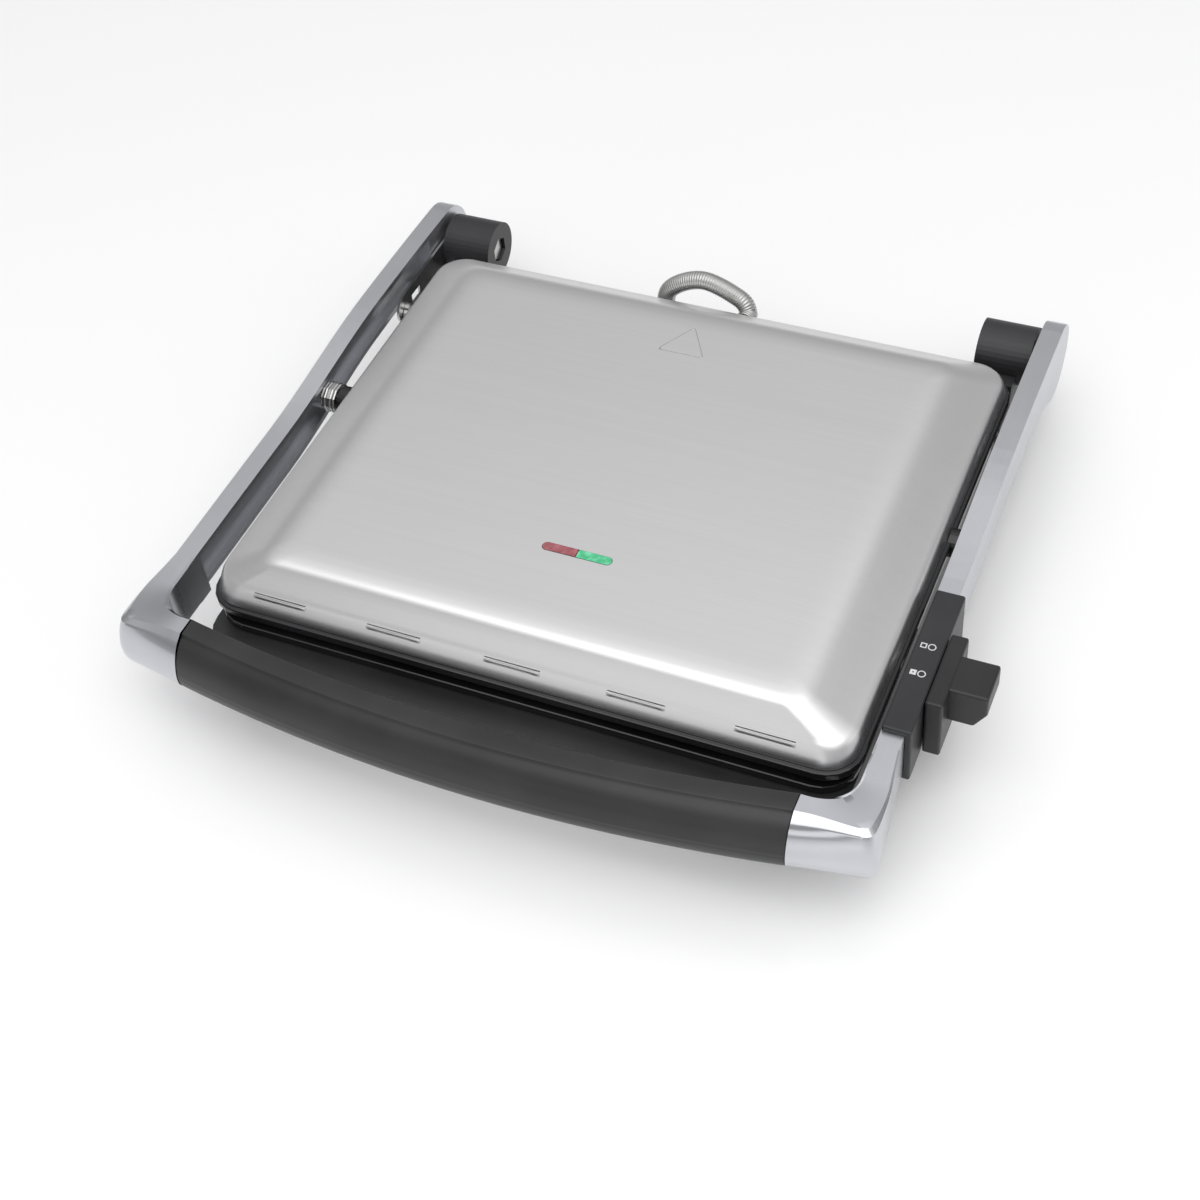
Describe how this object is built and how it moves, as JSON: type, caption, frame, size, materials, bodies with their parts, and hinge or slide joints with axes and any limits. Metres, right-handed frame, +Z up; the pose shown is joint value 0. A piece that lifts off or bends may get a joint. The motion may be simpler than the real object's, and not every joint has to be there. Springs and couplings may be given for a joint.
{
  "type": "panini press",
  "caption": "Low panini press: ribbed base plate, floating steel lid in a bowed swing-up handle frame, side lock lever and a hose between base and lid",
  "frame": {"origin": "middle of the bounding box in plan, at the height the rubber feet stand on", "axes": "+X towards the lock lever (the right-hand side seen from the grip), +Y towards the rear hinge, +Z up"},
  "size_m": [0.4168, 0.3906, 0.0804],
  "materials": {
    "brushed_steel": "brushed",
    "cast_alloy": "satin cast alloy",
    "ceramic": "off-white ceramic or heat-proof resin",
    "element_sheath": "heat-darkened steel sheath",
    "gloss_plastic": "gloss black",
    "green_lens": "translucent green lens",
    "grip_plastic": "fine matte black",
    "hinge_plastic": "matte charcoal",
    "hose_metal": "ribbed spiral metal hose",
    "lock_plastic": "matte near-black",
    "nonstick_coating": "black non-stick coating on cast aluminium",
    "red_lens": "translucent dull red lens",
    "rubber": "matte black rubber",
    "zinc_steel": "zinc-plated steel"
  },
  "bodies": {
    "base": {"base_housing": "grip_plastic", "base_bezel": "gloss_plastic", "bottom_cover": "hinge_plastic", "cover_screw_1": "zinc_steel", "cover_screw_2": "zinc_steel", "cover_screw_3": "zinc_steel", "cover_screw_4": "zinc_steel", "foot_front_left": "rubber", "foot_front_right": "rubber", "foot_rear_left": "rubber", "foot_rear_right": "rubber", "lower_grill_plate": "nonstick_coating", "lower_element": "element_sheath", "heat_shield": "zinc_steel", "shield_post_front_left": "ceramic", "shield_post_front_right": "ceramic", "shield_post_rear_left": "ceramic", "shield_post_rear_right": "ceramic", "lower_thermostat": "ceramic", "hinge_tower_left": "hinge_plastic", "hinge_tower_right": "hinge_plastic", "hinge_pin_left": "zinc_steel", "hinge_pin_right": "zinc_steel", "hinge_bracket_left": "zinc_steel", "hinge_bracket_right": "zinc_steel", "bracket_stud_left": "zinc_steel", "bracket_stud_right": "zinc_steel", "cord_gland": "rubber", "conduit_socket": "hinge_plastic", "conduit_lower": "hose_metal"},
    "handle_frame": {"arm_left": "cast_alloy", "arm_right": "cast_alloy", "grip": "grip_plastic", "handle_core": "zinc_steel", "lock_sleeve": "hinge_plastic", "pivot_spring_left": "zinc_steel", "pivot_bush_right": "hinge_plastic", "pivot_pin_left": "zinc_steel", "pivot_pin_right": "zinc_steel"},
    "lid": {"lid_cover": "brushed_steel", "lid_frame": "gloss_plastic", "upper_grill_plate": "nonstick_coating", "upper_element": "element_sheath", "upper_thermostat": "ceramic", "indicator_red": "red_lens", "indicator_green": "green_lens", "indicator_holder": "ceramic", "conduit_upper": "hose_metal"},
    "lock": {"lock_lever": "lock_plastic"}
  },
  "joints": [
    {"name": "arm_hinge", "type": "hinge", "parent": "base", "child": "handle_frame", "pos_m": [-0.01196, 0.17425, 0.043], "axis": [-1, 0, 0], "range_deg": [0, 100], "deforming": ["conduit_lower", "conduit_upper"]},
    {"name": "lid_pivot", "type": "hinge", "parent": "handle_frame", "child": "lid", "pos_m": [-0.01196, 0.01925, 0.05], "axis": [-1, 0, 0], "range_deg": [-1.8, 1.8]},
    {"name": "lock_slide", "type": "slide", "parent": "handle_frame", "child": "lock", "axis": [0, 1, 0], "range_m": [0, 0.016]}
  ]
}
